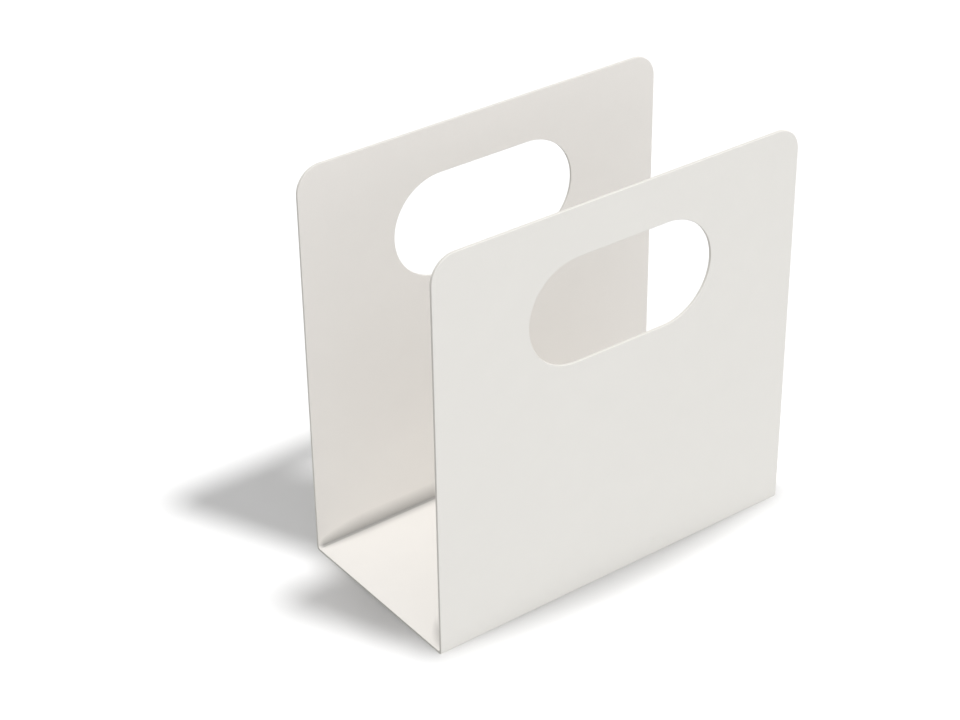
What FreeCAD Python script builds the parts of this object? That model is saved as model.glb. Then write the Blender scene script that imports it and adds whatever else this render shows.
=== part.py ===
"""Cup carrier: one sheet of white board, scored twice and folded up into two walls with hand holes.

+X runs along the walls, +Y from the front wall to the back wall, and +Z up.
The origin is the middle of the underside of the base. Lengths are in millimetres.
"""

import FreeCAD
import Part

import math
import os

# Outside of the folded carrier
LENGTH = 180.0
DEPTH = 90.0
HEIGHT = 180.0

# The board, and the radius that the cutting rule rolls its outside over by, along every cut edge
BOARD = 1.2
EDGE_ROUND = 0.3

# The folds: the radius that the board turns about, and the bead that the score raises inside it
FOLD_RADIUS = 0.3
BEAD_RADIUS = 0.5
BEAD_BLEND = 0.5

# Each wall's outline: rounded upper corners and a hand hole with round ends
CORNER_RADIUS = 11.0
HAND_HOLE_LENGTH = 91.0
HAND_HOLE_HEIGHT = 46.5
HAND_HOLE_BELOW_TOP = 45.0


def on_end(y, z):
    """A point of the section, which is drawn on the plane across the carrier."""
    return FreeCAD.Vector(0, y, z)


def on_wall(x, z):
    """A point of the wall's outline, which is drawn on the plane along the carrier."""
    return FreeCAD.Vector(x, 0, z)


def line(place, start, end):
    return Part.LineSegment(place(*start), place(*end)).toShape()


def arc(place, centre, radius, from_degrees, to_degrees):
    points = []
    for degrees in (from_degrees, (from_degrees + to_degrees) / 2, to_degrees):
        angle = math.radians(degrees)
        across = centre[0] + radius * math.cos(angle)
        up = centre[1] + radius * math.sin(angle)
        points.append(place(across, up))
    return Part.Arc(*points).toShape()


def closed_wire(edges):
    return Part.Wire(Part.sortEdges(edges)[0])


def fold_and_wall(side):
    """The section's edges on one side, from the end of the base round the fold and up the wall.

    The bead is a circle about the inside corner, blended into the base and into the wall.
    The walls stand a board's thickness too tall here, and the die trims them.
    """

    def place(y, z):
        return on_end(side * y, z)

    outer = DEPTH / 2
    inner = outer - BOARD
    top = HEIGHT + BOARD
    outside_radius = FOLD_RADIUS + BOARD
    reach = bead_reach()
    lean = math.degrees(math.asin(BEAD_BLEND / (BEAD_RADIUS + BEAD_BLEND)))
    wall_blend = (inner - BEAD_BLEND, BOARD + reach)
    base_blend = (inner - reach, BOARD + BEAD_BLEND)
    return [
        arc(place, (outer - outside_radius, outside_radius), outside_radius, -90, 0),
        line(place, (outer, outside_radius), (outer, top)),
        line(place, (outer, top), (inner, top)),
        line(place, (inner, top), (inner, BOARD + reach)),
        arc(place, wall_blend, BEAD_BLEND, 0, lean - 90),
        arc(place, (inner, BOARD), BEAD_RADIUS, 90 + lean, 180 - lean),
        arc(place, base_blend, BEAD_BLEND, -lean, -90),
    ]


def bead_reach():
    """How far the bead's blends reach from the inside corner, along the base and up the wall."""
    return math.sqrt((BEAD_RADIUS + BEAD_BLEND) ** 2 - BEAD_BLEND**2)


def folded_board():
    """The scored and folded board, a board's thickness too long at each end."""
    underside = DEPTH / 2 - BOARD - FOLD_RADIUS
    floor = DEPTH / 2 - BOARD - bead_reach()
    edges = [
        line(on_end, (-underside, 0), (underside, 0)),
        line(on_end, (-floor, BOARD), (floor, BOARD)),
    ]
    for side in (-1, 1):
        edges += fold_and_wall(side)
    end = LENGTH / 2 + BOARD
    section = Part.Face(closed_wire(edges))
    section.translate(FreeCAD.Vector(-end, 0, 0))
    return section.extrude(FreeCAD.Vector(2 * end, 0, 0))


def wall_edge():
    """The wall's outline, carried straight down past the base."""
    end = LENGTH / 2
    corner = end - CORNER_RADIUS
    shoulder = HEIGHT - CORNER_RADIUS
    return closed_wire(
        [
            line(on_wall, (-end, -BOARD), (end, -BOARD)),
            line(on_wall, (end, -BOARD), (end, shoulder)),
            arc(on_wall, (corner, shoulder), CORNER_RADIUS, 0, 90),
            line(on_wall, (corner, HEIGHT), (-corner, HEIGHT)),
            arc(on_wall, (-corner, shoulder), CORNER_RADIUS, 90, 180),
            line(on_wall, (-end, shoulder), (-end, -BOARD)),
        ]
    )


def hand_hole_edge():
    """Two half circles joined by straight runs."""
    radius = HAND_HOLE_HEIGHT / 2
    run = HAND_HOLE_LENGTH / 2 - radius
    middle = HEIGHT - HAND_HOLE_BELOW_TOP
    return closed_wire(
        [
            line(on_wall, (-run, middle - radius), (run, middle - radius)),
            arc(on_wall, (run, middle), radius, -90, 90),
            line(on_wall, (run, middle + radius), (-run, middle + radius)),
            arc(on_wall, (-run, middle), radius, 90, 270),
        ]
    )


def die():
    """The cutting outline of both walls, with the hand hole in it, run through the whole depth."""
    front = -DEPTH / 2 - BOARD
    outline = Part.Face([wall_edge(), hand_hole_edge()], "Part::FaceMakerBullseye")
    outline.translate(FreeCAD.Vector(0, front, 0))
    return outline.extrude(FreeCAD.Vector(0, -2 * front, 0))


def rolled_edges(sheet):
    """The edges where a cut face meets the outside of the board at a right angle."""
    found = []
    for edge in sheet.Edges:
        middle = edge.valueAt((edge.FirstParameter + edge.LastParameter) / 2)
        normals = []
        for face in sheet.ancestorsOfType(edge, Part.Face):
            normals.append(face.normalAt(*face.Surface.parameter(middle)))
        square = round(math.degrees(normals[0].getAngle(normals[1]))) == 90
        outside = abs(middle.y) > (DEPTH - BOARD) / 2 or middle.z < BOARD / 2
        if square and outside:
            found.append(edge)
    return found


def carrier_sheet():
    sheet = folded_board().common(die()).removeSplitter()
    return sheet.makeFillet(min(EDGE_ROUND, BOARD / 2), rolled_edges(sheet)).Solids[0]


os.makedirs("parts", exist_ok=True)
carrier_sheet().exportStep("parts/carrier_sheet.step")
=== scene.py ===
"""Cup carrier of folded white board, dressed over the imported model's frame.

The board is drawn as the flat blank that the die cuts, and is then folded up. Lengths are in metres.
x runs along the walls, s along the board from the middle of the base to the top of a wall, and depth
through the board, from 0 at its outside to 1 at its inside.
"""

import math

import bmesh
import bpy
from mathutils import Matrix, Vector


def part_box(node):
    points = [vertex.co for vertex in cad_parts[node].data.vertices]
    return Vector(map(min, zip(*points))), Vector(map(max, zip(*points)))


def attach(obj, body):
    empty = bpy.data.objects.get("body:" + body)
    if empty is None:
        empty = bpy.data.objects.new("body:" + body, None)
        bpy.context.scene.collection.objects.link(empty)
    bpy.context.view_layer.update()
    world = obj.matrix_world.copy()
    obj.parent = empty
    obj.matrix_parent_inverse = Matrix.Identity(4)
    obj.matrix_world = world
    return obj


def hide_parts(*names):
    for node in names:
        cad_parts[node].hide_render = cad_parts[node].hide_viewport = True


bl_info = {
    "name": "Folded board cup carrier",
    "version": (1, 0, 0),
    "blender": (4, 5, 0),
    "location": "3D View > Sidebar > Cup carrier",
    "description": "Builds a cup carrier of folded white board, and the studio that it stands in",
    "category": "Add Mesh",
}

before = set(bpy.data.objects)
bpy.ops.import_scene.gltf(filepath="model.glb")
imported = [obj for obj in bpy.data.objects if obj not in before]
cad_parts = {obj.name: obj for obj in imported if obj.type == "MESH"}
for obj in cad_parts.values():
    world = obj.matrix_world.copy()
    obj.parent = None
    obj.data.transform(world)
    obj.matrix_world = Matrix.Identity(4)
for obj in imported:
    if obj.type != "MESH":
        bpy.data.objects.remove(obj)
CAD_NODE = "carrier_sheet"
CAD_LOW, CAD_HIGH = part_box(CAD_NODE)
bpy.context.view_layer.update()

FRONT = -1
BACK = 1
OUTSIDE = 0.0
INSIDE = 1.0
BLACK = (0.0, 0.0, 0.0, 1.0)

# A face's tone: how much its clouds and its fibres add to it, and what is left of its colour where it is
# darkest and lightest
NOISE_MIDDLE = 0.5
CLOUD_DETAIL = 3.0
FIBRE_DETAIL = 4.0
FACE_CLOUDS = 0.6
FACE_FIBRES = 0.5
FACE_DARKEST = 0.98
FACE_LIGHTEST = 1.02
FACE_ROUGHNESS_SPREAD = 0.12
FACE_IOR = 1.45

# The crease's shade keeps its width almost to the open ends, and then closes fast
CREASE_TAPER_POWER = 0.3

# The bare cut's tone, as on a face, with the layers that run along the board in place of the clouds
CUT_LAYERS = 1.2
CUT_FIBRES = 0.8
CUT_DARKEST = 0.955
CUT_LIGHTEST = 1.045
CUT_FIBRE_SIZE_SHARE = 0.4
CUT_RELIEF_SHARE = 3.0
CUT_ROUGHNESS = 0.9
CUT_IOR = 1.4
LAYERS_THROUGH_BOARD = 9.0
LAYERS_PER_METRE = 350.0
LAYER_DETAIL = 3.0

# Steps of the board's mesh: half of the base along x and along s, a fold, and half of a wall's edge
HALF_LENGTH_STEPS = 16
BASE_STEPS = 12
FOLD_STEPS = 22
WALL_STEPS = 24
CORNER_STEPS = 12
TOP_STEPS = 16

# Steps of half a hand hole's runs and of its round end, in all as many as half of the wall has all round,
# and the rings of faces between the two
HOLE_RUN_STEPS = 12
HOLE_END_STEPS = HALF_LENGTH_STEPS + WALL_STEPS + CORNER_STEPS + TOP_STEPS - 2 * HOLE_RUN_STEPS
WALL_RINGS = 10

# Steps round each of a cut's two edges, and through the board between them
ROUND_STEPS = 6
CUT_STEPS = 4

# Steps of the studio's outlines
FOOT_FLAG_STEPS = 24
STUDIO_FLOOR_SIDES = 64

# Bearings of the lamps round from the front, their heights above the floor, and the width of a sharp one
FROM_FRONT = 0.0
FROM_SIDE = math.pi / 2
FROM_BACK = math.pi
LEVEL = 0.0
STRAIGHT_BELOW = -math.pi / 2
SHARP = 0.0

# The camera's sensor in millimetres, and how near and far it sees in metres
SENSOR_WIDTH = 36.0
NEAREST = 0.01
FURTHEST = 100.0


class BoardSizes(bpy.types.PropertyGroup):
    """Sizes of the board, its folds and its cut outline.

    The frame gives the carrier's length, depth and height.
    """

    thickness: bpy.props.FloatProperty(
        name="Thickness",
        description="Thickness of the board",
        default=0.0012,
        min=0.0003,
        unit="LENGTH",
        precision=5,
    )
    fold_radius: bpy.props.FloatProperty(
        name="Fold radius",
        description="Radius that the inside of the board turns about at each fold",
        default=0.0003,
        min=0.0,
        unit="LENGTH",
        precision=5,
    )
    bead_radius: bpy.props.FloatProperty(
        name="Bead radius",
        description="Radius of the bead that the score raises inside each fold",
        default=0.0005,
        min=0.0001,
        unit="LENGTH",
        precision=5,
    )
    bead_blend: bpy.props.FloatProperty(
        name="Bead blend",
        description="Radius of the hollow that leads from the board's face into the bead",
        default=0.0005,
        min=0.0001,
        unit="LENGTH",
        precision=5,
    )
    outside_round: bpy.props.FloatProperty(
        name="Rolled edge",
        description="Radius that the cutting rule rolls the board's outside over by, along each cut",
        default=0.00025,
        min=0.00005,
        unit="LENGTH",
        precision=5,
    )
    inside_round: bpy.props.FloatProperty(
        name="Burr edge",
        description="Radius of the cut's edge on the board's inside",
        default=0.00015,
        min=0.00005,
        unit="LENGTH",
        precision=5,
    )
    corner_radius: bpy.props.FloatProperty(
        name="Corner radius",
        description="Radius of each wall's upper corners",
        default=0.011,
        min=0.001,
        unit="LENGTH",
        precision=4,
    )
    hand_hole_length: bpy.props.FloatProperty(
        name="Hand hole length",
        description="Length of the hand hole over its round ends",
        default=0.091,
        min=0.001,
        unit="LENGTH",
        precision=4,
    )
    hand_hole_height: bpy.props.FloatProperty(
        name="Hand hole height",
        description="Height of the hand hole, which is twice the radius of its round ends",
        default=0.0465,
        min=0.001,
        unit="LENGTH",
        precision=4,
    )
    hand_hole_below_top: bpy.props.FloatProperty(
        name="Hand hole below the top",
        description="Distance from a wall's top edge down to the middle of its hand hole",
        default=0.045,
        min=0.001,
        unit="LENGTH",
        precision=4,
    )


class BoardFinish(bpy.types.PropertyGroup):
    """Colours and surface of the board."""

    outside_color: bpy.props.FloatVectorProperty(
        name="Outside",
        description="Colour of the board's outside face",
        default=(0.80, 0.785, 0.75),
        min=0.0,
        max=1.0,
        subtype="COLOR",
    )
    inside_color: bpy.props.FloatVectorProperty(
        name="Inside",
        description="Colour of the board's inside face, which is a little warmer",
        default=(0.805, 0.782, 0.75),
        min=0.0,
        max=1.0,
        subtype="COLOR",
    )
    cut_color: bpy.props.FloatVectorProperty(
        name="Cut edge",
        description="Colour of the bare fibre along each cut",
        default=(0.78, 0.76, 0.715),
        min=0.0,
        max=1.0,
        subtype="COLOR",
    )
    roughness: bpy.props.FloatProperty(
        name="Roughness",
        description="Roughness of the coated faces",
        default=0.62,
        min=0.0,
        max=1.0,
        subtype="FACTOR",
    )
    fibre_size: bpy.props.FloatProperty(
        name="Fibre size",
        description="Size of the fibres' clumps, which give the board its fine unevenness",
        default=0.0007,
        min=0.0001,
        unit="LENGTH",
        precision=5,
    )
    cloud_size: bpy.props.FloatProperty(
        name="Cloud size",
        description="Size of the soft patches in the board's tone",
        default=0.012,
        min=0.001,
        unit="LENGTH",
        precision=4,
    )
    fibre_relief: bpy.props.FloatProperty(
        name="Fibre relief",
        description="Height of the fibres' unevenness",
        default=0.000012,
        min=0.0,
        unit="LENGTH",
        precision=6,
    )
    # Painted shade along the inside creases, mixed into the board's colour
    crease_shade: bpy.props.FloatProperty(
        name="Crease shade",
        description="How much darker the inside creases are at their deepest than open board",
        default=0.53,
        min=0.0,
        max=1.0,
        subtype="FACTOR",
    )
    crease_up_wall: bpy.props.FloatProperty(
        name="Crease shade up the wall",
        description="How far up a wall the crease's shade reaches",
        default=0.0086,
        min=0.0001,
        unit="LENGTH",
        precision=4,
    )
    crease_over_base: bpy.props.FloatProperty(
        name="Crease shade over the base",
        description="How far over the base the crease's shade reaches",
        default=0.0055,
        min=0.0001,
        unit="LENGTH",
        precision=4,
    )
    crease_taper: bpy.props.FloatProperty(
        name="Crease taper",
        description="Length over which the crease's shade narrows towards the carrier's open ends",
        default=0.022,
        min=0.0001,
        unit="LENGTH",
        precision=4,
    )
    crease_fade: bpy.props.FloatProperty(
        name="Crease fade",
        description="Length over which the crease's shade fades out at the carrier's open ends",
        default=0.0025,
        min=0.0001,
        unit="LENGTH",
        precision=4,
    )
    # Painted shade: a fine dark line along the bead in each inside crease
    crease_line_shade: bpy.props.FloatProperty(
        name="Crease line",
        description="How much darker the bead in a crease is than the shade round it",
        default=0.65,
        min=0.0,
        max=1.0,
        subtype="FACTOR",
    )
    crease_line_shade_width: bpy.props.FloatProperty(
        name="Crease line width",
        description="How far the crease line reaches from the corner, up the wall and over the base",
        default=0.001,
        min=0.0001,
        unit="LENGTH",
        precision=4,
    )
    # Painted shade of the front wall on the base: how far it reaches, and how its ends fade and round off
    front_shade_reach: bpy.props.FloatProperty(
        name="Front shade reach",
        description="How far over the base the front wall's shade reaches",
        default=0.022,
        min=0.0001,
        unit="LENGTH",
        precision=4,
    )
    front_shade_fade: bpy.props.FloatProperty(
        name="Front shade fade",
        description="Length over which the front wall's shade would go from none to full at the open ends",
        default=0.0125,
        min=0.0001,
        unit="LENGTH",
        precision=4,
    )
    front_shade_round: bpy.props.FloatProperty(
        name="Front shade round",
        description="Length that rounds the shade's ends off, more the smaller it is",
        default=0.032,
        min=0.0001,
        unit="LENGTH",
        precision=4,
    )
    # Painted shade: a faint darkening at the foot of each wall's inside face
    wall_shade: bpy.props.FloatProperty(
        name="Wall shade",
        description="How much darker the foot of a wall is inside than the open board above it",
        default=0.065,
        min=0.0,
        max=1.0,
        subtype="FACTOR",
    )
    wall_shade_height: bpy.props.FloatProperty(
        name="Wall shade height",
        description="How far up a wall its own shade reaches",
        default=0.035,
        min=0.0001,
        unit="LENGTH",
        precision=4,
    )


class Studio(bpy.types.PropertyGroup):
    """Camera, lamps and floor."""

    sky: bpy.props.FloatProperty(
        name="Sky",
        description="Strength of the even light from all round",
        default=0.449,
        min=0.0,
        subtype="FACTOR",
    )
    sky_front: bpy.props.FloatProperty(
        name="Sky in front",
        description="Strength that the light from all round gains straight in front of the carrier",
        default=0.62,
        min=0.0,
        subtype="FACTOR",
    )
    sky_side: bpy.props.FloatProperty(
        name="Sky at the side",
        description="Strength that the light from all round gains towards +X and loses towards -X",
        default=0.05,
        min=0.0,
        subtype="FACTOR",
    )
    shadow_lamp: bpy.props.FloatProperty(
        name="Shadow lamp",
        description="Strength of the lamp over the floor, which casts the carrier's shadow",
        default=0.7,
        min=0.0,
    )
    shadow_lamp_width: bpy.props.FloatProperty(
        name="Shadow lamp width",
        description="Angle that the shadow lamp fills, which sets how soft its shadow's edge is",
        default=math.radians(1.08),
        min=0.0,
        subtype="ANGLE",
        unit="ROTATION",
    )
    shadow_lamp_bearing: bpy.props.FloatProperty(
        name="Shadow lamp bearing",
        description="Angle of the shadow lamp round from the front, towards +X",
        default=math.radians(24.4),
        subtype="ANGLE",
        unit="ROTATION",
    )
    shadow_lamp_height: bpy.props.FloatProperty(
        name="Shadow lamp height",
        description="Angle of the shadow lamp above the floor",
        default=math.radians(67.4),
        subtype="ANGLE",
        unit="ROTATION",
    )
    flag_distance: bpy.props.FloatProperty(
        name="Flag distance",
        description="How far up the shadow lamp's beam its flags stand, which evens out the shadow's edge",
        default=1.0,
        min=0.0,
        unit="LENGTH",
    )
    flag_growth: bpy.props.FloatProperty(
        name="Flag growth",
        description="How much further out the flag's surface lies than the carrier's",
        default=0.003,
        min=0.0,
        unit="LENGTH",
        precision=4,
    )
    foot_reach: bpy.props.FloatProperty(
        name="Foot reach",
        description="How far the shadow at the carrier's foot reaches in front of it, at the middle",
        default=0.011,
        min=0.0,
        unit="LENGTH",
        precision=4,
    )
    foot_bow: bpy.props.FloatProperty(
        name="Foot bow",
        description="How much less far that shadow reaches at the carrier's ends",
        default=0.009,
        min=0.0,
        unit="LENGTH",
        precision=4,
    )
    board_lamp: bpy.props.FloatProperty(
        name="Board lamp",
        description="Strength of the lamp that lights the carrier from the front",
        default=0.55,
        min=0.0,
    )
    board_lamp_height: bpy.props.FloatProperty(
        name="Board lamp height",
        description="Angle of the board lamp above the floor",
        default=math.radians(63.2),
        subtype="ANGLE",
        unit="ROTATION",
    )
    back_lamp: bpy.props.FloatProperty(
        name="Back lamp",
        description="Strength of the lamp that lights the carrier from behind, level with the floor",
        default=0.32,
        min=0.0,
    )
    side_lamp: bpy.props.FloatProperty(
        name="Side lamp",
        description="Strength of the lamp that lights the carrier along its bay, from +X",
        default=0.45,
        min=0.0,
    )
    side_lamp_height: bpy.props.FloatProperty(
        name="Side lamp height",
        description="Angle of the side lamp above the floor",
        default=math.radians(4.0),
        subtype="ANGLE",
        unit="ROTATION",
    )
    foot_lamp: bpy.props.FloatProperty(
        name="Foot lamp",
        description="Strength of the light that comes up through the floor and lifts the folds at the foot",
        default=0.42,
        min=0.0,
    )
    floor_color: bpy.props.FloatVectorProperty(
        name="Floor",
        description="Colour of the floor as the camera sees it",
        default=(0.9, 0.9, 0.9),
        min=0.0,
        max=1.0,
        subtype="COLOR",
    )
    # Painted shadow on the floor off the base's open ends: how dark, how far out and how wide
    end_shade: bpy.props.FloatProperty(
        name="End shade",
        description="How much darker the floor is at the middle of the base's open ends than elsewhere",
        default=0.21,
        min=0.0,
        max=1.0,
        subtype="FACTOR",
    )
    end_shade_reach: bpy.props.FloatProperty(
        name="End shade reach",
        description="How far out from the open ends that shade reaches over the floor",
        default=0.02,
        min=0.0001,
        unit="LENGTH",
        precision=4,
    )
    end_shade_width: bpy.props.FloatProperty(
        name="End shade width",
        description="How wide that shade is along the open ends",
        default=0.06,
        min=0.0001,
        unit="LENGTH",
        precision=4,
    )
    floor_bounce: bpy.props.FloatVectorProperty(
        name="Floor bounce",
        description="Colour of the light that the floor throws back onto the carrier",
        default=(0.45, 0.45, 0.45),
        min=0.0,
        max=1.0,
        subtype="COLOR",
    )
    floor_radius: bpy.props.FloatProperty(
        name="Floor radius",
        description="Radius of the floor",
        default=4.0,
        min=0.5,
        unit="LENGTH",
    )
    camera_place: bpy.props.FloatVectorProperty(
        name="Camera place",
        description="Where the camera stands",
        default=(-0.50594, -0.64239, 0.58810),
        subtype="TRANSLATION",
        unit="LENGTH",
    )
    camera_heading: bpy.props.FloatProperty(
        name="Camera heading",
        description="Angle that the camera turns from +Y towards +X",
        default=math.radians(36.1967),
        subtype="ANGLE",
        unit="ROTATION",
    )
    camera_tilt: bpy.props.FloatProperty(
        name="Camera tilt",
        description="Angle that the camera looks down by",
        default=math.radians(31.7320),
        subtype="ANGLE",
        unit="ROTATION",
    )
    camera_roll: bpy.props.FloatProperty(
        name="Camera roll",
        description="Angle that the camera leans by, about the line that it looks along",
        default=math.radians(-0.8562),
        subtype="ANGLE",
        unit="ROTATION",
    )
    camera_lens: bpy.props.FloatProperty(
        name="Camera lens",
        description=f"Focal length in millimetres, on a sensor {SENSOR_WIDTH:g} mm wide",
        default=87.453,
        min=10.0,
    )


class Value:
    """A number in a node tree. Its operators add the Math nodes that work out an expression."""

    def __init__(self, tree, socket):
        self.tree = tree
        self.socket = socket

    def maths(self, operation, other=None):
        return self.tree.maths(operation, self, other)

    def __add__(self, other):
        return self.maths("ADD", other)

    def __sub__(self, other):
        return self.maths("SUBTRACT", other)

    def __rsub__(self, other):
        return self.tree.maths("SUBTRACT", other, self)

    def __mul__(self, other):
        return self.maths("MULTIPLY", other)

    def __truediv__(self, other):
        return self.maths("DIVIDE", other)

    __radd__ = __add__
    __rmul__ = __mul__

    def limited(self):
        """The number kept from 0 to 1."""
        return self.maths("MINIMUM", 1.0).maths("MAXIMUM", 0.0)


class Tree:
    """The nodes of a material, a lamp or the world."""

    def __init__(self, owner):
        owner.use_nodes = True
        self.nodes = owner.node_tree.nodes
        self.links = owner.node_tree.links
        self.nodes.clear()

    def add(self, kind, settings=None, sockets=None):
        """A new node's outputs by name. Its settings are set first, then its sockets' values or links."""
        node = self.nodes.new(kind)
        for name, setting in (settings or {}).items():
            setattr(node, name, setting)
        for name, value in (sockets or {}).items():
            socket = self.find(node.inputs, name)
            if isinstance(value, Value):
                self.links.new(value.socket, socket)
            else:
                socket.default_value = value
        return {socket.identifier: Value(self, socket) for socket in node.outputs}

    def find(self, sockets, name):
        """The socket of that identifier, or of that place where the name is a number."""
        if name.isdigit():
            return sockets[int(name)]
        return next(socket for socket in sockets if socket.identifier == name)

    def maths(self, operation, first, second):
        """A Math node's result. One of a single number takes None as its second."""
        values = {"0": first} if second is None else {"0": first, "1": second}
        return self.add("ShaderNodeMath", {"operation": operation}, values)["Value"]

    def mix_colors(self, share, first, second):
        settings = {"data_type": "RGBA"}
        sockets = {"Factor_Float": share, "A_Color": first, "B_Color": second}
        return self.add("ShaderNodeMix", settings, sockets)["Result_Color"]

    def mix_shaders(self, share, first, second):
        sockets = {"0": share, "1": first, "2": second}
        return self.add("ShaderNodeMixShader", None, sockets)["Shader"]

    def matt(self, color):
        return self.add("ShaderNodeBsdfDiffuse", None, {"Color": color})["BSDF"]

    def seen(self):
        """1 for what the camera sees, by itself, mirrored or through glass, and 0 for light on its way."""
        rays = self.add("ShaderNodeLightPath")
        hidden = 1.0
        for kind in ("Camera", "Glossy", "Transmission"):
            hidden = hidden * (1 - rays[f"Is {kind} Ray"])
        return 1 - hidden

    def noise(self, place, size, detail):
        """Smooth noise about 0.5, with lumps of about that size."""
        sockets = {"Vector": place, "Scale": 1.0 / size, "Detail": detail}
        return self.add("ShaderNodeTexNoise", None, sockets)["Fac"]


def shade(color, factor):
    """The colour made lighter or darker by the factor, with its alpha."""
    return (*(part * factor for part in color), 1.0)


def falloff(distance, reach):
    """1 at no distance, and evenly less to 0 at the reach."""
    return (1 - distance / reach).limited()


def front_shade(up, behind, ends, finish):
    """The front wall's painted shade on the base, smooth at its far edge and rounded at its ends."""
    share = (behind / finish.front_shade_reach).limited()
    from_wall = finish.crease_shade * (1 - share * share) * (1 - share * share)
    from_ends = (ends - behind * behind / finish.front_shade_round) / finish.front_shade_fade
    return from_wall.maths("MINIMUM", from_ends).limited() * falloff(up, finish.crease_up_wall)


def crease_shade(tree, place, sizes, finish):
    """The share of its colour that the board's inside face loses to painted shade towards the two creases.

    The main shade falls off evenly up the wall, and faster over the base, and is narrower towards the open
    ends. The front wall's own reaches further over the base. A fine painted dark line follows the bead, and
    a faint painted shade goes further up the wall.
    """
    axes = tree.add("ShaderNodeSeparateXYZ", None, {"Vector": place})
    corner = (CAD_HIGH.y - CAD_LOW.y) / 2 - sizes.thickness
    up = axes["Z"] - sizes.thickness
    across = corner - axes["Y"].maths("ABSOLUTE")
    ends = CAD_HIGH.x - axes["X"].maths("ABSOLUTE")
    width = (ends / finish.crease_taper).limited().maths("POWER", CREASE_TAPER_POWER)
    over_base = falloff(across, finish.crease_over_base * width)
    main = falloff(up, finish.crease_up_wall * width) * over_base * over_base
    # The painted dark line along the bead
    line = falloff(up, finish.crease_line_shade_width) * falloff(across, finish.crease_line_shade_width)
    # The front wall's painted shade on the base
    front = front_shade(up, axes["Y"] + corner, ends, finish)
    deepest = (finish.crease_shade * main).maths("MAXIMUM", front)
    shades = (1 - deepest) * (1 - finish.crease_line_shade * line)
    # The faint painted shade at the foot of the wall
    foot = falloff(up, finish.wall_shade_height) * falloff(across, sizes.thickness)
    crease = (1 - shades) * (ends / finish.crease_fade).limited()
    return 1 - (1 - crease) * (1 - finish.wall_shade * foot)


def uneven(first, first_share, second, second_share):
    """A tone about the middle, from two noises by their shares."""
    return (first - NOISE_MIDDLE) * first_share + (second - NOISE_MIDDLE) * second_share + NOISE_MIDDLE


def board_surface(tree, color, roughness, ior, height, relief):
    """The material's surface, raised by up to the relief where the height is 1."""
    sockets = {"Strength": 1.0, "Distance": relief, "Height": height}
    bump = tree.add("ShaderNodeBump", None, sockets)["Normal"]
    sockets = {"Base Color": color, "Roughness": roughness, "IOR": ior, "Normal": bump}
    shader = tree.add("ShaderNodeBsdfPrincipled", None, sockets)["BSDF"]
    tree.add("ShaderNodeOutputMaterial", None, {"Surface": shader})


def board_face_material(sizes, finish):
    """Coated board: soft patches of tone, fine fibres, painted shade in the creases, and a low satin."""
    material = bpy.data.materials.new("board_face")
    tree = Tree(material)
    place = tree.add("ShaderNodeTexCoord")["Object"]
    inside = tree.add("ShaderNodeAttribute", {"attribute_name": "depth"})["Fac"]
    clouds = tree.noise(place, finish.cloud_size, CLOUD_DETAIL)
    fibres = tree.noise(place, finish.fibre_size, FIBRE_DETAIL)
    colors = []
    for factor in (FACE_DARKEST, FACE_LIGHTEST):
        outside_color = shade(finish.outside_color, factor)
        inside_color = shade(finish.inside_color, factor)
        colors.append(tree.mix_colors(inside, outside_color, inside_color))
    tone = uneven(clouds, FACE_CLOUDS, fibres, FACE_FIBRES)
    open_color = tree.mix_colors(tone, *colors)
    # Painted shade: the inside creases darken the board's colour towards black
    shaded = inside * crease_shade(tree, place, sizes, finish)
    color = tree.mix_colors(shaded, open_color, BLACK)
    roughness = finish.roughness + (fibres - NOISE_MIDDLE) * FACE_ROUGHNESS_SPREAD
    board_surface(tree, color, roughness, FACE_IOR, fibres, finish.fibre_relief)
    return material


def cut_edge_material(finish):
    """Bare fibre along the cuts: less even and rougher than the faces, with layers along the board."""
    material = bpy.data.materials.new("board_cut_edge")
    tree = Tree(material)
    place = tree.add("ShaderNodeTexCoord")["Object"]
    depth = tree.add("ShaderNodeAttribute", {"attribute_name": "depth"})["Fac"]
    through = depth * LAYERS_THROUGH_BOARD
    layers = tree.add(
        "ShaderNodeTexNoise",
        {"noise_dimensions": "4D"},
        {"Vector": place, "W": through, "Scale": LAYERS_PER_METRE, "Detail": LAYER_DETAIL},
    )["Fac"]
    fibres = tree.noise(place, finish.fibre_size * CUT_FIBRE_SIZE_SHARE, FIBRE_DETAIL)
    tone = uneven(layers, CUT_LAYERS, fibres, CUT_FIBRES)
    darkest, lightest = shade(finish.cut_color, CUT_DARKEST), shade(finish.cut_color, CUT_LIGHTEST)
    color = tree.mix_colors(tone, darkest, lightest)
    board_surface(tree, color, CUT_ROUGHNESS, CUT_IOR, tone, finish.fibre_relief * CUT_RELIEF_SHARE)
    return material


def placed(name, data):
    """A new object in the scene."""
    made = bpy.data.objects.new(name, data)
    bpy.context.scene.collection.objects.link(made)
    return made


def placed_mesh(name, mesh):
    """A new object in the scene, of a bmesh that is then done with."""
    data = bpy.data.meshes.new(name)
    mesh.to_mesh(data)
    mesh.free()
    return placed(name, data)


def straight(start, end):
    """A stretch of a path: its length, and the point at a share of it."""
    first, last = Vector(start), Vector(end)
    return (last - first).length, lambda share: first.lerp(last, share)


def bend(centre, radius, from_degrees, to_degrees):
    """A round stretch of a path: its length, and the point at a share of it."""
    middle = Vector(centre)

    def point(share):
        angle = math.radians(from_degrees + (to_degrees - from_degrees) * share)
        return middle + radius * Vector((math.cos(angle), math.sin(angle)))

    return radius * math.radians(abs(to_degrees - from_degrees)), point


def point_along(path, distance):
    """The point of a path of stretches that lies at a distance along it."""
    *first, (last_length, last_point) = path
    for length, point in first:
        if distance <= length:
            return point(distance / length)
        distance -= length
    return last_point(min(distance / last_length, 1.0))


def stations(path, count):
    """Points along a path of stretches, evenly spaced by length, with both ends."""
    total = sum(length for length, _ in path)
    return [point_along(path, total * step / count) for step in range(count + 1)]


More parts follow.
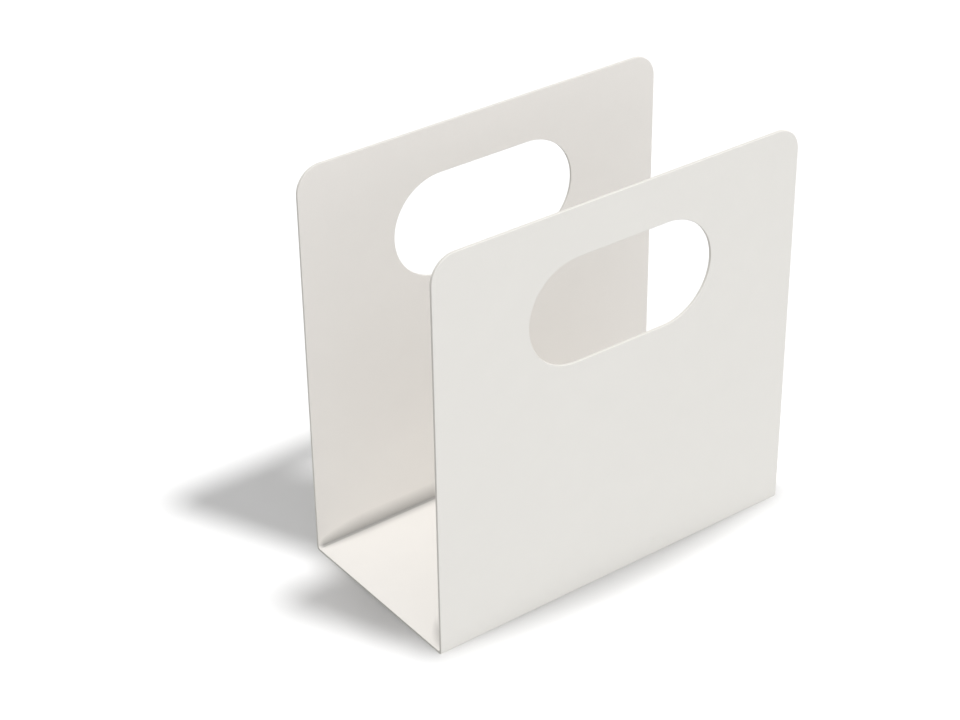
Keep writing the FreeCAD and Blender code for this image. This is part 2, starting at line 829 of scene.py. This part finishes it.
class Section:
    """The folded board seen along the carrier.

    The base is flat up to flat_end and the fold runs on to fold_end, both as s. The wall begins there, at
    the height wall_start. The fold is a list of pairs of points, outside and inside.
    """

    def __init__(self, sizes):
        self.board = sizes.thickness
        outer = (CAD_HIGH.y - CAD_LOW.y) / 2
        inner = outer - self.board
        turn = sizes.fold_radius + self.board
        reach = math.sqrt((sizes.bead_radius + sizes.bead_blend) ** 2 - sizes.bead_blend**2)
        lean = math.degrees(math.asin(sizes.bead_blend / (sizes.bead_radius + sizes.bead_blend)))
        self.outer = outer
        self.flat_end = inner - reach
        self.wall_start = self.board + reach
        outside = [
            straight((self.flat_end, 0), (outer - turn, 0)),
            bend((outer - turn, turn), turn, -90, 0),
            straight((outer, turn), (outer, self.wall_start)),
        ]
        inside = [
            bend((inner - reach, self.board + sizes.bead_blend), sizes.bead_blend, -90, -lean),
            bend((inner, self.board), sizes.bead_radius, 180 - lean, 90 + lean),
            bend((inner - sizes.bead_blend, self.board + reach), sizes.bead_blend, lean - 90, 0),
        ]
        self.fold = list(zip(stations(outside, FOLD_STEPS), stations(inside, FOLD_STEPS)))
        self.fold_end = self.flat_end + sum(length for length, _ in outside)

    def point(self, x, s, depth):
        """Where a point of the flat blank comes to once it is folded. A front wall has s below 0."""
        side = FRONT if s < 0 else BACK
        run = abs(s)
        if run <= self.flat_end:
            return Vector((x, s, depth * self.board))
        if run >= self.fold_end:
            up = self.wall_start + run - self.fold_end
            return Vector((x, side * (self.outer - depth * self.board), up))
        step = (run - self.flat_end) / (self.fold_end - self.flat_end) * FOLD_STEPS
        outside, inside = self.fold[round(step)]
        across, up = outside.lerp(inside, depth)
        return Vector((x, side * across, up))

    def height(self, z):
        """The blank's s for a height on a wall."""
        return self.fold_end + z - self.wall_start


class Cut:
    """A cut line of the blank, as points with the direction from each into the board."""

    def __init__(self):
        self.points = []

    def run(self, start, end, inward, steps):
        """A straight cut. Its first point is left out where the line has reached it already."""
        first = 1 if self.points else 0
        for step in range(first, steps + 1):
            place = Vector(start).lerp(Vector(end), step / steps)
            self.points.append((place, Vector(inward)))

    def turn(self, centre, radius, from_degrees, to_degrees, steps, inward):
        """A round cut. inward is -1 where the board is towards its centre, and 1 where it is round it."""
        for step in range(1, steps + 1):
            angle = math.radians(from_degrees + (to_degrees - from_degrees) * step / steps)
            direction = Vector((math.cos(angle), math.sin(angle)))
            self.points.append((Vector(centre) + radius * direction, inward * direction))


class Sheet:
    """The board's mesh.

    Faces name their corners on the flat blank, and corners at one place of its grid are one vertex.
    """

    FACE = 0
    CUT = 1

    # How far in from a cut its rim reaches, and how wide its flat strip beside the rolled edge is
    MARGIN = 0.004
    SUPPORT = 0.0002

    # Corners that are closer than one step of this grid are one vertex
    GRID_PER_METRE = 1e7
    GRID_THROUGH_BOARD = 1e4

    def __init__(self, section):
        self.section = section
        self.mesh = bmesh.new()
        self.depth = self.mesh.verts.layers.float.new("depth")
        self.found = {}

    def vertex(self, place, depth):
        x, s = place
        grid = self.GRID_PER_METRE
        key = (round(x * grid), round(s * grid), round(depth * self.GRID_THROUGH_BOARD))
        if key not in self.found:
            made = self.mesh.verts.new(self.section.point(x, s, depth))
            made[self.depth] = depth
            self.found[key] = made
        return self.found[key]

    def quad(self, corners, material):
        face = self.mesh.faces.new([self.vertex(*corner) for corner in corners])
        face.material_index = material
        face.smooth = True

    def band(self, first, second, depth):
        """Quads between two lines of points on one face of the board."""
        for step in range(len(first) - 1):
            places = (first[step], first[step + 1], second[step + 1], second[step])
            self.quad([(place, depth) for place in places], self.FACE)

    def rim(self, cut, profile):
        """The strip over a cut's edge, from the margin outside to the margin inside."""
        for (place, inward), (next_place, next_inward) in zip(cut, cut[1:]):
            for (offset, depth, material), (next_offset, next_depth, _) in zip(profile, profile[1:]):
                corners = (
                    (place + inward * offset, depth),
                    (next_place + next_inward * offset, depth),
                    (next_place + next_inward * next_offset, next_depth),
                    (place + inward * next_offset, next_depth),
                )
                self.quad(corners, material)

    def piece(self, name):
        """The finished mesh as an object."""
        bmesh.ops.recalc_face_normals(self.mesh, faces=self.mesh.faces)
        return placed_mesh(name, self.mesh)


def rim_profile(sizes):
    """The edge's section across a cut.

    Each point has how far it lies in from the cut, its depth, and the material after it.
    """
    board = sizes.thickness
    rolled, burr = sizes.outside_round, sizes.inside_round
    profile = [(Sheet.MARGIN, OUTSIDE, Sheet.FACE), (rolled + Sheet.SUPPORT, OUTSIDE, Sheet.FACE)]
    for step in range(ROUND_STEPS + 1):
        angle = math.pi / 2 * step / ROUND_STEPS
        material = Sheet.FACE if step < ROUND_STEPS / 2 else Sheet.CUT
        profile.append((rolled * (1 - math.sin(angle)), rolled * (1 - math.cos(angle)) / board, material))
    first, last = rolled / board, 1 - burr / board
    for step in range(1, CUT_STEPS):
        profile.append((0.0, first + (last - first) * step / CUT_STEPS, Sheet.CUT))
    for step in range(ROUND_STEPS, -1, -1):
        angle = math.pi / 2 * step / ROUND_STEPS
        material = Sheet.CUT if step > ROUND_STEPS / 2 else Sheet.FACE
        profile.append((burr * (1 - math.sin(angle)), 1 - burr * (1 - math.cos(angle)) / board, material))
    profile.append((burr + Sheet.SUPPORT, INSIDE, Sheet.FACE))
    profile.append((Sheet.MARGIN, INSIDE, Sheet.FACE))
    return profile


def whole(half):
    """A cut line with its other half, which mirrors it across the middle of the carrier's length."""
    mirrored = [(Vector((-place.x, place.y)), Vector((-inward.x, inward.y))) for place, inward in half[:-1]]
    return half + mirrored[::-1]


def hand_hole_half(sizes, middle, side):
    """The hand hole's cut, from the middle of its lower edge, round its +X end, to the middle above."""
    radius = sizes.hand_hole_height / 2
    run = sizes.hand_hole_length / 2 - radius
    cut = Cut()
    low, high = side * (middle - radius), side * (middle + radius)
    cut.run((0, low), (run, low), (0, -side), HOLE_RUN_STEPS)
    cut.turn((run, side * middle), radius, -90 * side, 90 * side, HOLE_END_STEPS, 1)
    cut.run((run, high), (0, high), (0, side), HOLE_RUN_STEPS)
    return cut.points


def wall_edge_half(sizes, section, side):
    """The wall's cut from its foot at +X, round its upper corner, to the middle of its top."""
    end = CAD_HIGH.x
    top = section.height(CAD_HIGH.z)
    shoulder = top - sizes.corner_radius
    corner = end - sizes.corner_radius
    cut = Cut()
    cut.run((end, side * section.fold_end), (end, side * shoulder), (-1, 0), WALL_STEPS)
    cut.turn((corner, side * shoulder), sizes.corner_radius, 0, 90 * side, CORNER_STEPS, -1)
    cut.run((corner, side * top), (0, side * top), (0, -side), TOP_STEPS)
    return cut.points


def base_rows(section):
    """The blank's rows from the front wall's foot to the back wall's, across the base and both folds."""
    fold = section.fold_end - section.flat_end
    half = [section.flat_end * step / BASE_STEPS for step in range(BASE_STEPS + 1)]
    half += [section.flat_end + fold * step / FOLD_STEPS for step in range(1, FOLD_STEPS + 1)]
    return [-s for s in reversed(half)] + half[1:]


def add_wall(sheet, sizes, side):
    """One wall: the rims of its outline and of its hand hole, and both faces between them."""
    section = sheet.section
    profile = rim_profile(sizes)
    edge = whole(wall_edge_half(sizes, section, side))
    hole = whole(hand_hole_half(sizes, section.height(CAD_HIGH.z - sizes.hand_hole_below_top), side))
    sheet.rim(edge, profile)
    sheet.rim(hole, profile)
    reach = CAD_HIGH.x - sheet.MARGIN
    columns = [reach * step / HALF_LENGTH_STEPS for step in range(HALF_LENGTH_STEPS)]
    foot = [Vector((x, side * section.fold_end)) for x in columns]
    back = [Vector((-place.x, place.y)) for place in reversed(foot)]
    around = foot + [place + inward * sheet.MARGIN for place, inward in edge] + back
    inner = [place + inward * sheet.MARGIN for place, inward in hole]
    rings = []
    for ring in range(WALL_RINGS + 1):
        share = ring / WALL_RINGS
        rings.append([near.lerp(far, share) for near, far in zip(inner, around)])
    for depth in (OUTSIDE, INSIDE):
        for ring, next_ring in zip(rings, rings[1:]):
            sheet.band(ring, next_ring, depth)


def add_base(sheet, sizes):
    """The base and both folds: the rims at their two ends, and both faces between them."""
    profile = rim_profile(sizes)
    rows = base_rows(sheet.section)
    for end in (-1, 1):
        cut = [(Vector((end * CAD_HIGH.x, s)), Vector((-end, 0))) for s in rows]
        sheet.rim(cut, profile)
    reach = CAD_HIGH.x - sheet.MARGIN
    steps = range(-HALF_LENGTH_STEPS, HALF_LENGTH_STEPS + 1)
    columns = [reach * step / HALF_LENGTH_STEPS for step in steps]
    lines = [[Vector((x, s)) for x in columns] for s in rows]
    for depth in (OUTSIDE, INSIDE):
        for line, next_line in zip(lines, lines[1:]):
            sheet.band(line, next_line, depth)


class CARRIER_OT_board(bpy.types.Operator):
    """Build the folded sheet of board"""

    bl_idname = "carrier.board"
    bl_label = "Folded board"
    bl_options = {"REGISTER", "UNDO"}

    def execute(self, context):
        sizes = context.scene.carrier_board
        finish = context.scene.carrier_finish
        sheet = Sheet(Section(sizes))
        add_base(sheet, sizes)
        for side in (FRONT, BACK):
            add_wall(sheet, sizes, side)
        piece = sheet.piece("folded_board")
        piece.data.materials.append(board_face_material(sizes, finish))
        piece.data.materials.append(cut_edge_material(finish))
        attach(piece, "root")
        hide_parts(CAD_NODE)
        return {"FINISHED"}


def end_shade(tree, studio):
    """The floor's painted shadow off the base's open ends, between the walls, as a share of its colour."""
    place = tree.add("ShaderNodeTexCoord")["Object"]
    axes = tree.add("ShaderNodeSeparateXYZ", None, {"Vector": place})
    away = (axes["X"].maths("ABSOLUTE") - CAD_HIGH.x).maths("MAXIMUM", 0.0)
    across = axes["Y"] / (studio.end_shade_width / 2)
    between = (1 - across * across).limited()
    return studio.end_shade * falloff(away, studio.end_shade_reach) * between


def floor(studio):
    """A round pale floor, which the camera sees as plain white where it is lit."""
    mesh = bmesh.new()
    bmesh.ops.create_circle(mesh, cap_ends=True, segments=STUDIO_FLOOR_SIDES, radius=studio.floor_radius)
    piece = placed_mesh("floor", mesh)
    material = bpy.data.materials.new("floor")
    tree = Tree(material)
    open_floor = tree.matt((*studio.floor_color, 1.0))
    # Painted shadow: the floor is mixed towards black off the base's open ends
    shown = tree.mix_shaders(end_shade(tree, studio), open_floor, tree.matt(BLACK))
    bounce = tree.matt((*studio.floor_bounce, 1.0))
    shader = tree.mix_shaders(tree.seen(), bounce, shown)
    tree.add("ShaderNodeOutputMaterial", None, {"Surface": shader})
    piece.data.materials.append(material)
    return piece


def sky(studio):
    """Light from all round, with more from the front and from +X. It is seen as white."""
    world = bpy.data.worlds.new("studio")
    bpy.context.scene.world = world
    tree = Tree(world)
    direction = tree.add("ShaderNodeTexCoord")["Generated"]
    axes = tree.add("ShaderNodeSeparateXYZ", None, {"Vector": direction})
    front = (FRONT * axes["Y"]).maths("MAXIMUM", 0.0)
    light = studio.sky + studio.sky_front * front + studio.sky_side * axes["X"]
    seen = tree.seen()
    strength = seen + (1 - seen) * light
    shader = tree.add("ShaderNodeBackground", None, {"Color": (1, 1, 1, 1), "Strength": strength})
    tree.add("ShaderNodeOutputWorld", None, {"Surface": shader["Background"]})


def towards(bearing, height):
    """The turn of a lamp that stands at a bearing round from the front, and at a height above the floor."""
    return Matrix.Rotation(bearing, 4, "Z") @ Matrix.Rotation(math.pi / 2 - height, 4, "X")


def lamp(name, strength, width, turn, lit, shading):
    """A far lamp, which lights only some things and is shaded only by others."""
    data = bpy.data.lights.new(name, "SUN")
    # At a strength of 1 a white face turned to the lamp is seen as white
    data.energy = strength * math.pi
    data.angle = width
    made = placed(name, data)
    made.matrix_world = turn
    for role, things in (("receiver_collection", lit), ("blocker_collection", shading)):
        group = bpy.data.collections.new(f"{name}_{role}")
        for thing in things:
            group.objects.link(thing)
        setattr(made.light_linking, role, group)
    return made


def hide_from_all_but_lamps(flag):
    """Hide it from every kind of ray but shadows, so that it only shades the lamps' light."""
    for rays in ("camera", "diffuse", "glossy", "transmission", "volume_scatter"):
        setattr(flag, f"visible_{rays}", False)


def shadow_flag(studio, board, place):
    """The carrier again, a little grown, far up the shadow lamp's beam, where only that beam meets it.

    Its shadow falls where the carrier stands, and is evenly soft from end to end.
    """
    flag = placed("shadow_flag", board.data)
    flag.location = place
    grown = flag.modifiers.new("grown", "DISPLACE")
    grown.strength = studio.flag_growth
    grown.mid_level = 0.0
    hide_from_all_but_lamps(flag)
    return flag


def foot_flag(studio, place):
    """A card under the carrier, bowed out to the front, which gives it a deeper shadow at its foot."""
    mesh = bmesh.new()
    corners = [(CAD_HIGH.x, 0.0), (CAD_LOW.x, 0.0)]
    for step in range(FOOT_FLAG_STEPS + 1):
        share = 2 * step / FOOT_FLAG_STEPS - 1
        corners.append((CAD_HIGH.x * share, CAD_LOW.y - studio.foot_reach + studio.foot_bow * share**2))
    mesh.faces.new([mesh.verts.new((x, y, 0.0)) for x, y in corners])
    flag = placed_mesh("foot_flag", mesh)
    flag.location = place
    hide_from_all_but_lamps(flag)
    return flag


def camera(studio):
    data = bpy.data.cameras.new("camera")
    data.sensor_width = SENSOR_WIDTH
    data.lens = studio.camera_lens
    data.clip_start = NEAREST
    data.clip_end = FURTHEST
    eye = placed("camera", data)
    heading = Matrix.Rotation(-studio.camera_heading, 4, "Z")
    tilt = Matrix.Rotation(math.pi / 2 - studio.camera_tilt, 4, "X")
    roll = Matrix.Rotation(studio.camera_roll, 4, "Z")
    eye.matrix_world = Matrix.Translation(studio.camera_place) @ heading @ tilt @ roll
    bpy.context.scene.camera = eye


class CARRIER_OT_studio(bpy.types.Operator):
    """Set up the floor, the lamps and the camera"""

    bl_idname = "carrier.studio"
    bl_label = "Studio"
    bl_options = {"REGISTER", "UNDO"}

    def execute(self, context):
        studio = context.scene.carrier_studio
        board = bpy.data.objects["folded_board"]
        ground = floor(studio)
        sky(studio)
        shadow_turn = towards(studio.shadow_lamp_bearing, studio.shadow_lamp_height)
        place = shadow_turn @ Vector((0, 0, studio.flag_distance))
        flags = [shadow_flag(studio, board, place), foot_flag(studio, place)]
        lamp("shadow_lamp", studio.shadow_lamp, studio.shadow_lamp_width, shadow_turn, [ground], flags)
        board_turn = towards(FROM_FRONT, studio.board_lamp_height)
        lamp("board_lamp", studio.board_lamp, SHARP, board_turn, [board], [ground])
        lamp("back_lamp", studio.back_lamp, SHARP, towards(FROM_BACK, LEVEL), [board], [board])
        side_turn = towards(FROM_SIDE, studio.side_lamp_height)
        side_lamp = lamp("side_lamp", studio.side_lamp, SHARP, side_turn, [board], [board])
        # So low a lamp would glare off the base
        side_lamp.visible_glossy = False
        foot_turn = towards(FROM_FRONT, STRAIGHT_BELOW)
        lamp("foot_lamp", studio.foot_lamp, SHARP, foot_turn, [board], [board])
        camera(studio)
        context.scene.view_settings.view_transform = "Standard"
        return {"FINISHED"}


class CARRIER_PT_panel(bpy.types.Panel):
    """The carrier's operators and their settings"""

    bl_idname = "CARRIER_PT_panel"
    bl_label = "Cup carrier"
    bl_space_type = "VIEW_3D"
    bl_region_type = "UI"
    bl_category = "Cup carrier"

    def draw(self, context):
        scene = context.scene
        parts = (
            (CARRIER_OT_board, (scene.carrier_board, scene.carrier_finish)),
            (CARRIER_OT_studio, (scene.carrier_studio,)),
        )
        for operator, groups in parts:
            box = self.layout.box()
            box.operator(operator.bl_idname)
            for group in groups:
                for name in group.__annotations__:
                    box.prop(group, name)


CLASSES = (BoardSizes, BoardFinish, Studio, CARRIER_OT_board, CARRIER_OT_studio, CARRIER_PT_panel)


def register():
    for item in CLASSES:
        bpy.utils.register_class(item)
    bpy.types.Scene.carrier_board = bpy.props.PointerProperty(type=BoardSizes)
    bpy.types.Scene.carrier_finish = bpy.props.PointerProperty(type=BoardFinish)
    bpy.types.Scene.carrier_studio = bpy.props.PointerProperty(type=Studio)


def unregister():
    del bpy.types.Scene.carrier_studio
    del bpy.types.Scene.carrier_finish
    del bpy.types.Scene.carrier_board
    for item in reversed(CLASSES):
        bpy.utils.unregister_class(item)


def main():
    register()
    bpy.ops.carrier.board()
    bpy.ops.carrier.studio()
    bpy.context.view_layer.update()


if __name__ == "__main__":
    main()
